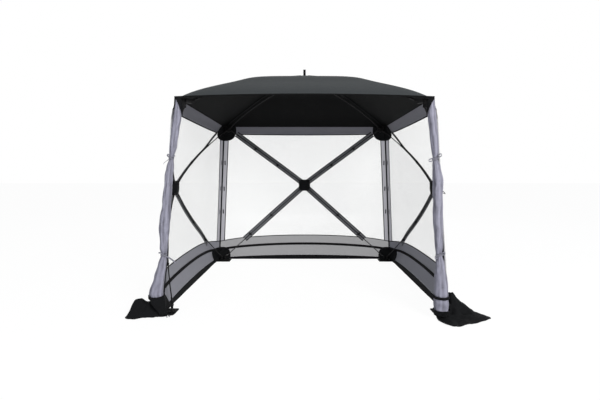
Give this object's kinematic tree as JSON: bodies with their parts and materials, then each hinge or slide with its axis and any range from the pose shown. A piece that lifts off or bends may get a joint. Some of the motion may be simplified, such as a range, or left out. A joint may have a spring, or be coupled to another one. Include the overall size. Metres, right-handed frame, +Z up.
{
  "type": "mosquito net tent",
  "caption": "Square pop-up screen shelter with a peaked cloth roof, netted walls that bow outwards, a folding hub frame of sprung poles and an open front with its door tied back.",
  "frame": {"origin": "middle of the tent's overall box on the floor, at the underside of the foot pads", "axes": "+X to the right of someone who looks in through the open front, +Y from the front to the back wall, +Z up"},
  "size_m": [2.991, 2.9155, 2.2664],
  "materials": {
    "hub_plastic": "moulded black plastic, satin",
    "fibreglass": "smooth black rod",
    "roof_cloth": "charcoal plain weave, coated inside",
    "netting": "fine white mesh",
    "grey_cloth": "grey plain weave",
    "door_cloth": "light grey lilac net and cloth",
    "black_cloth": "black plain weave",
    "webbing": "black ribbed webbing"
  },
  "bodies": {
    "roof_hub": {"roof_hub": "hub_plastic", "roof_canopy": "roof_cloth", "pull_strap_roof": "webbing"},
    "roof_pole_back_left": {"roof_pole_back_left": "fibreglass"},
    "roof_pole_back_right": {"roof_pole_back_right": "fibreglass"},
    "roof_pole_front_left": {"roof_pole_front_left": "fibreglass"},
    "roof_pole_front_right": {"roof_pole_front_right": "fibreglass"},
    "top_corner_back_left": {"top_corner_back_left": "hub_plastic"},
    "top_corner_back_right": {"top_corner_back_right": "hub_plastic"},
    "top_corner_front_left": {"top_corner_front_left": "hub_plastic", "door_left": "door_cloth", "door_tie_upper_left": "webbing", "door_tie_lower_left": "webbing"},
    "top_corner_front_right": {"top_corner_front_right": "hub_plastic", "door_right": "door_cloth", "door_tie_upper_right": "webbing", "door_tie_lower_right": "webbing"},
    "left_hub": {"left_hub": "hub_plastic", "net_left": "netting", "border_left": "grey_cloth", "tapes_left": "grey_cloth", "pull_strap_left": "webbing"},
    "pole_left_lower_back": {"pole_left_lower_back": "fibreglass"},
    "pole_left_lower_front": {"pole_left_lower_front": "fibreglass"},
    "ear_left_upper_front": {"ear_left_upper_front": "hub_plastic"},
    "pole_left_upper_front": {"pole_left_upper_front": "fibreglass"},
    "ear_left_upper_back": {"ear_left_upper_back": "hub_plastic"},
    "pole_left_upper_back": {"pole_left_upper_back": "fibreglass"},
    "foot_back_left": {"foot_back_left": "hub_plastic", "foot_pad_back_left": "black_cloth"},
    "foot_front_left": {"foot_front_left": "hub_plastic", "foot_pad_front_left": "black_cloth"},
    "back_hub": {"back_hub": "hub_plastic", "net_back": "netting", "border_back": "grey_cloth", "tapes_back": "grey_cloth", "pull_strap_back": "webbing"},
    "pole_back_lower_right": {"pole_back_lower_right": "fibreglass"},
    "pole_back_lower_left": {"pole_back_lower_left": "fibreglass"},
    "ear_back_upper_left": {"ear_back_upper_left": "hub_plastic"},
    "pole_back_upper_left": {"pole_back_upper_left": "fibreglass"},
    "ear_back_upper_right": {"ear_back_upper_right": "hub_plastic"},
    "pole_back_upper_right": {"pole_back_upper_right": "fibreglass"},
    "right_hub": {"right_hub": "hub_plastic", "net_right": "netting", "border_right": "grey_cloth", "tapes_right": "grey_cloth", "pull_strap_right": "webbing"},
    "pole_right_lower_front": {"pole_right_lower_front": "fibreglass"},
    "pole_right_lower_back": {"pole_right_lower_back": "fibreglass"},
    "ear_right_upper_back": {"ear_right_upper_back": "hub_plastic"},
    "pole_right_upper_back": {"pole_right_upper_back": "fibreglass"},
    "ear_right_upper_front": {"ear_right_upper_front": "hub_plastic"},
    "pole_right_upper_front": {"pole_right_upper_front": "fibreglass"},
    "foot_front_right": {"foot_front_right": "hub_plastic", "foot_pad_front_right": "black_cloth"},
    "foot_back_right": {"foot_back_right": "hub_plastic", "foot_pad_back_right": "black_cloth"}
  },
  "joints": [
    {"name": "frame_fold", "type": "hinge", "parent": "roof_hub", "child": "roof_pole_back_left", "pos_m": [-0.0354, -0.0026, 2.11595], "axis": [0.7071, 0.7071, 0], "range_deg": [0, 100], "deforming": ["roof_canopy", "pull_strap_roof", "net_left", "border_left", "tapes_left", "pull_strap_left", "net_back", "border_back", "tapes_back", "pull_strap_back", "net_right", "border_right", "tapes_right", "pull_strap_right", "door_left", "door_tie_upper_left", "door_tie_lower_left", "door_right", "door_tie_upper_right", "door_tie_lower_right", "foot_pad_back_right", "foot_pad_back_left", "foot_pad_front_left", "foot_pad_front_right"]},
    {"name": "roof_pole_back_right_fold", "type": "hinge", "parent": "roof_hub", "child": "roof_pole_back_right", "pos_m": [0.0354, -0.0026, 2.11595], "axis": [0.7071, -0.7071, 0], "range_deg": [0, 100]},
    {"name": "roof_pole_front_left_fold", "type": "hinge", "parent": "roof_hub", "child": "roof_pole_front_left", "pos_m": [-0.0354, -0.0734, 2.11595], "axis": [-0.7071, 0.7071, 0], "range_deg": [0, 100]},
    {"name": "roof_pole_front_right_fold", "type": "hinge", "parent": "roof_hub", "child": "roof_pole_front_right", "pos_m": [0.0354, -0.0734, 2.11595], "axis": [-0.7071, -0.7071, 0], "range_deg": [0, 100]},
    {"name": "top_corner_back_left_fold", "type": "hinge", "parent": "roof_pole_back_left", "child": "top_corner_back_left", "pos_m": [-0.9329, 0.8949, 1.752], "axis": [0.7071, 0.7071, 0], "range_deg": [-100, 0]},
    {"name": "top_corner_back_right_fold", "type": "hinge", "parent": "roof_pole_back_right", "child": "top_corner_back_right", "pos_m": [0.9329, 0.8949, 1.752], "axis": [0.7071, -0.7071, 0], "range_deg": [-100, 0]},
    {"name": "top_corner_front_left_fold", "type": "hinge", "parent": "roof_pole_front_left", "child": "top_corner_front_left", "pos_m": [-0.9329, -0.9709, 1.752], "axis": [-0.7071, 0.7071, 0], "range_deg": [-100, 0]},
    {"name": "top_corner_front_right_fold", "type": "hinge", "parent": "roof_pole_front_right", "child": "top_corner_front_right", "pos_m": [0.9329, -0.9709, 1.752], "axis": [-0.7071, -0.7071, 0], "range_deg": [-100, 0]},
    {"name": "ear_left_upper_front_swivel", "type": "hinge", "parent": "top_corner_front_left", "child": "ear_left_upper_front", "pos_m": [-1, -0.9755, 1.7], "axis": [0, 1, 0], "range_deg": [0, 86.67]},
    {"name": "ear_left_upper_back_swivel", "type": "hinge", "parent": "top_corner_back_left", "child": "ear_left_upper_back", "pos_m": [-1, 0.8995, 1.7], "axis": [0, 1, 0], "range_deg": [0, 86.67]},
    {"name": "pole_left_upper_back_fold", "type": "hinge", "parent": "ear_left_upper_back", "child": "pole_left_upper_back", "pos_m": [-1, 0.8995, 1.7], "axis": [0.0462, -0.6067, 0.7936], "range_deg": [0, 100]},
    {"name": "left_hub_fold", "type": "hinge", "parent": "pole_left_upper_back", "child": "left_hub", "pos_m": [-1.36303, 0.002, 1.03498], "axis": [0.0462, -0.6067, 0.7936], "range_deg": [-100, 0]},
    {"name": "pole_left_lower_back_fold", "type": "hinge", "parent": "left_hub", "child": "pole_left_lower_back", "pos_m": [-1.36768, 0.002, 0.95512], "axis": [0.0437, 0.6597, 0.7503], "range_deg": [0, 97.68]},
    {"name": "pole_left_lower_front_fold", "type": "hinge", "parent": "left_hub", "child": "pole_left_lower_front", "pos_m": [-1.36768, -0.078, 0.95512], "axis": [-0.0437, 0.6597, -0.7503], "range_deg": [0, 97.68]},
    {"name": "pole_left_upper_front_fold", "type": "hinge", "parent": "left_hub", "child": "pole_left_upper_front", "pos_m": [-1.36303, -0.078, 1.03498], "axis": [-0.0462, -0.6067, -0.7936], "range_deg": [0, 100]},
    {"name": "foot_back_left_fold", "type": "hinge", "parent": "pole_left_lower_back", "child": "foot_back_left", "pos_m": [-1.09551, 1.002, 0.06], "axis": [0.0437, 0.6597, 0.7503], "range_deg": [-97.68, 0]},
    {"name": "foot_front_left_fold", "type": "hinge", "parent": "pole_left_lower_front", "child": "foot_front_left", "pos_m": [-1.09551, -1.078, 0.06], "axis": [-0.0437, 0.6597, -0.7503], "range_deg": [-97.68, 0]},
    {"name": "ear_back_upper_left_swivel", "type": "hinge", "parent": "top_corner_back_left", "child": "ear_back_upper_left", "pos_m": [-0.9375, 0.962, 1.7], "axis": [1, 0, 0], "range_deg": [0, 86.67]},
    {"name": "ear_back_upper_right_swivel", "type": "hinge", "parent": "top_corner_back_right", "child": "ear_back_upper_right", "pos_m": [0.9375, 0.962, 1.7], "axis": [1, 0, 0], "range_deg": [0, 86.67]},
    {"name": "pole_back_upper_left_fold", "type": "hinge", "parent": "ear_back_upper_left", "child": "pole_back_upper_left", "pos_m": [-0.9375, 0.962, 1.7], "axis": [-0.6067, 0.0462, -0.7936], "range_deg": [0, 100]},
    {"name": "back_hub_fold", "type": "hinge", "parent": "pole_back_upper_left", "child": "back_hub", "pos_m": [-0.04, 1.32503, 1.03498], "axis": [-0.6067, 0.0462, -0.7936], "range_deg": [-100, 0]},
    {"name": "pole_back_lower_right_fold", "type": "hinge", "parent": "back_hub", "child": "pole_back_lower_right", "pos_m": [0.04, 1.32968, 0.95512], "axis": [0.6597, -0.0437, 0.7503], "range_deg": [0, 97.68]},
    {"name": "pole_back_lower_left_fold", "type": "hinge", "parent": "back_hub", "child": "pole_back_lower_left", "pos_m": [-0.04, 1.32968, 0.95512], "axis": [0.6597, 0.0437, -0.7503], "range_deg": [0, 97.68]},
    {"name": "pole_back_upper_right_fold", "type": "hinge", "parent": "back_hub", "child": "pole_back_upper_right", "pos_m": [0.04, 1.32503, 1.03498], "axis": [-0.6067, -0.0462, 0.7936], "range_deg": [0, 100]},
    {"name": "ear_right_upper_back_swivel", "type": "hinge", "parent": "top_corner_back_right", "child": "ear_right_upper_back", "pos_m": [1, 0.8995, 1.7], "axis": [0, -1, 0], "range_deg": [0, 86.67]},
    {"name": "ear_right_upper_front_swivel", "type": "hinge", "parent": "top_corner_front_right", "child": "ear_right_upper_front", "pos_m": [1, -0.9755, 1.7], "axis": [0, -1, 0], "range_deg": [0, 86.67]},
    {"name": "pole_right_upper_back_fold", "type": "hinge", "parent": "ear_right_upper_back", "child": "pole_right_upper_back", "pos_m": [1, 0.8995, 1.7], "axis": [0.0462, 0.6067, -0.7936], "range_deg": [0, 100]},
    {"name": "right_hub_fold", "type": "hinge", "parent": "pole_right_upper_back", "child": "right_hub", "pos_m": [1.36303, 0.002, 1.03498], "axis": [0.0462, 0.6067, -0.7936], "range_deg": [-100, 0]},
    {"name": "pole_right_lower_front_fold", "type": "hinge", "parent": "right_hub", "child": "pole_right_lower_front", "pos_m": [1.36768, -0.078, 0.95512], "axis": [-0.0437, -0.6597, 0.7503], "range_deg": [0, 97.68]},
    {"name": "pole_right_lower_back_fold", "type": "hinge", "parent": "right_hub", "child": "pole_right_lower_back", "pos_m": [1.36768, 0.002, 0.95512], "axis": [0.0437, -0.6597, -0.7503], "range_deg": [0, 97.68]},
    {"name": "pole_right_upper_front_fold", "type": "hinge", "parent": "right_hub", "child": "pole_right_upper_front", "pos_m": [1.36303, -0.078, 1.03498], "axis": [-0.0462, 0.6067, 0.7936], "range_deg": [0, 100]},
    {"name": "foot_front_right_fold", "type": "hinge", "parent": "pole_right_lower_front", "child": "foot_front_right", "pos_m": [1.09551, -1.078, 0.06], "axis": [-0.0437, -0.6597, 0.7503], "range_deg": [-97.68, 0]},
    {"name": "foot_back_right_fold", "type": "hinge", "parent": "pole_right_lower_back", "child": "foot_back_right", "pos_m": [1.09551, 1.002, 0.06], "axis": [0.0437, -0.6597, -0.7503], "range_deg": [-97.68, 0]}
  ],
  "couplings": [
    {"joint": "roof_pole_back_right_fold", "follows": "frame_fold", "ratio": 1},
    {"joint": "roof_pole_front_left_fold", "follows": "frame_fold", "ratio": 1},
    {"joint": "roof_pole_front_right_fold", "follows": "frame_fold", "ratio": 1},
    {"joint": "top_corner_back_left_fold", "follows": "frame_fold", "ratio": -1},
    {"joint": "top_corner_back_right_fold", "follows": "frame_fold", "ratio": -1},
    {"joint": "top_corner_front_left_fold", "follows": "frame_fold", "ratio": -1},
    {"joint": "top_corner_front_right_fold", "follows": "frame_fold", "ratio": -1},
    {"joint": "ear_left_upper_front_swivel", "follows": "frame_fold", "ratio": 0.86667},
    {"joint": "ear_left_upper_back_swivel", "follows": "frame_fold", "ratio": 0.86667},
    {"joint": "pole_left_upper_back_fold", "follows": "frame_fold", "ratio": 1},
    {"joint": "left_hub_fold", "follows": "frame_fold", "ratio": -1},
    {"joint": "pole_left_lower_back_fold", "follows": "frame_fold", "ratio": 0.97675},
    {"joint": "pole_left_lower_front_fold", "follows": "frame_fold", "ratio": 0.97675},
    {"joint": "pole_left_upper_front_fold", "follows": "frame_fold", "ratio": 1},
    {"joint": "foot_back_left_fold", "follows": "frame_fold", "ratio": -0.97675},
    {"joint": "foot_front_left_fold", "follows": "frame_fold", "ratio": -0.97675},
    {"joint": "ear_back_upper_left_swivel", "follows": "frame_fold", "ratio": 0.86667},
    {"joint": "ear_back_upper_right_swivel", "follows": "frame_fold", "ratio": 0.86667},
    {"joint": "pole_back_upper_left_fold", "follows": "frame_fold", "ratio": 1},
    {"joint": "back_hub_fold", "follows": "frame_fold", "ratio": -1},
    {"joint": "pole_back_lower_right_fold", "follows": "frame_fold", "ratio": 0.97675},
    {"joint": "pole_back_lower_left_fold", "follows": "frame_fold", "ratio": 0.97675},
    {"joint": "pole_back_upper_right_fold", "follows": "frame_fold", "ratio": 1},
    {"joint": "ear_right_upper_back_swivel", "follows": "frame_fold", "ratio": 0.86667},
    {"joint": "ear_right_upper_front_swivel", "follows": "frame_fold", "ratio": 0.86667},
    {"joint": "pole_right_upper_back_fold", "follows": "frame_fold", "ratio": 1},
    {"joint": "right_hub_fold", "follows": "frame_fold", "ratio": -1},
    {"joint": "pole_right_lower_front_fold", "follows": "frame_fold", "ratio": 0.97675},
    {"joint": "pole_right_lower_back_fold", "follows": "frame_fold", "ratio": 0.97675},
    {"joint": "pole_right_upper_front_fold", "follows": "frame_fold", "ratio": 1},
    {"joint": "foot_front_right_fold", "follows": "frame_fold", "ratio": -0.97675},
    {"joint": "foot_back_right_fold", "follows": "frame_fold", "ratio": -0.97675}
  ]
}
